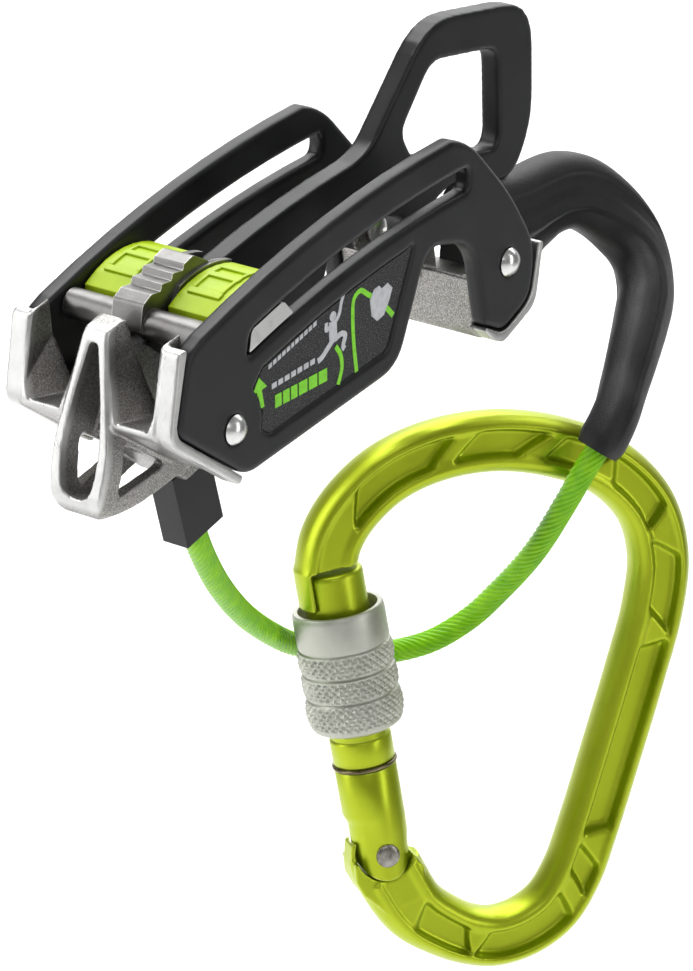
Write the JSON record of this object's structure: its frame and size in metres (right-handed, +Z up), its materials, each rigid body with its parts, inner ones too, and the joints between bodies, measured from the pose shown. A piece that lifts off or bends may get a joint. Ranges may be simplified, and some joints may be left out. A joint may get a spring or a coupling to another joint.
{
  "type": "assisted braking belay device with screwgate carabiner",
  "caption": "Two-channel assisted braking belay and rappel device with a travelling slider, a guide eyelet and a screwgate carabiner hung on its keeper cable.",
  "frame": {"origin": "centre of the guide eyelet in the centre plate", "axes": "+X from the rope inlet to the rear, +Y from the right plate to the left plate, +Z up"},
  "size_m": [0.1637, 0.0603, 0.1934],
  "materials": {
    "black_alloy": "satin black anodised",
    "label_print": "matte speckled print",
    "cast_steel": "grainy cast steel with polished edges",
    "steel": "polished",
    "lime_plastic": "satin",
    "cable_coating": "translucent coating over twisted wire",
    "black_plastic": "matte",
    "black_rubber": "matte",
    "lime_alloy": "satin lime anodised",
    "grey_alloy": "bead blasted",
    "brass": "plain"
  },
  "bodies": {
    "device": {"side_plate_right": "black_alloy", "side_plate_left": "black_alloy", "centre_plate": "black_alloy", "label_right": "label_print", "label_left": "label_print", "front_insert": "cast_steel", "rear_insert": "cast_steel", "centre_dowel_front": "steel", "centre_dowel_rear": "steel", "cable": "cable_coating", "cable_ferrule": "black_plastic", "cable_sleeve": "black_rubber", "front_rivet_right": "steel", "rear_rivet_right": "steel", "front_rivet_left": "steel", "rear_rivet_left": "steel"},
    "slider": {"slider_frame": "cast_steel", "slider_guide_right": "steel", "slider_guide_left": "steel", "brake_insert_right": "lime_plastic", "brake_insert_left": "lime_plastic"},
    "carabiner": {"carabiner_body": "lime_alloy", "gate_rivet": "steel"},
    "gate": {"gate": "lime_alloy", "gate_spring": "steel", "gate_snap_ring": "steel"},
    "plunger": {"gate_plunger": "steel"},
    "sleeve_carrier": {"sleeve_thread_bush": "brass"},
    "screw_sleeve": {"screw_sleeve": "grey_alloy"}
  },
  "joints": [
    {"name": "slider_travel", "type": "hinge", "parent": "device", "child": "slider", "pos_m": [0.0577, 0, -0.261], "axis": [0, 1, 0], "range_deg": [0, 8]},
    {"name": "carabiner_swing", "type": "hinge", "parent": "device", "child": "carabiner", "pos_m": [0.00311, 0.00698, -0.1152], "axis": [0.4892, -0.37, 0.7898], "range_deg": [-12, 12]},
    {"name": "gate_open", "type": "hinge", "parent": "carabiner", "child": "gate", "pos_m": [0.0122, 0.0001, -0.1504], "axis": [0.6032, 0.7976, 0], "range_deg": [0, 20], "stiffness_Nm_per_rad": 0.5, "springref_deg": -22.92},
    {"name": "plunger_travel", "type": "slide", "parent": "gate", "child": "plunger", "axis": [-0.2465, 0.1864, 0.9511], "range_m": [0, 0.0012]},
    {"name": "sleeve_slide", "type": "slide", "parent": "gate", "child": "sleeve_carrier", "axis": [-0.2465, 0.1864, 0.9511], "range_m": [-0.006, 0.005]},
    {"name": "sleeve_spin", "type": "hinge", "parent": "sleeve_carrier", "child": "screw_sleeve", "pos_m": [0.0122, 0.0001, -0.1504], "axis": [-0.2465, 0.1864, 0.9511], "range_deg": [-360, 300]}
  ],
  "couplings": [
    {"joint": "plunger_travel", "follows": "gate_open", "m_per_rad": 0.0033},
    {"joint": "sleeve_spin", "follows": "sleeve_slide", "rad_per_m": 1047.2}
  ]
}
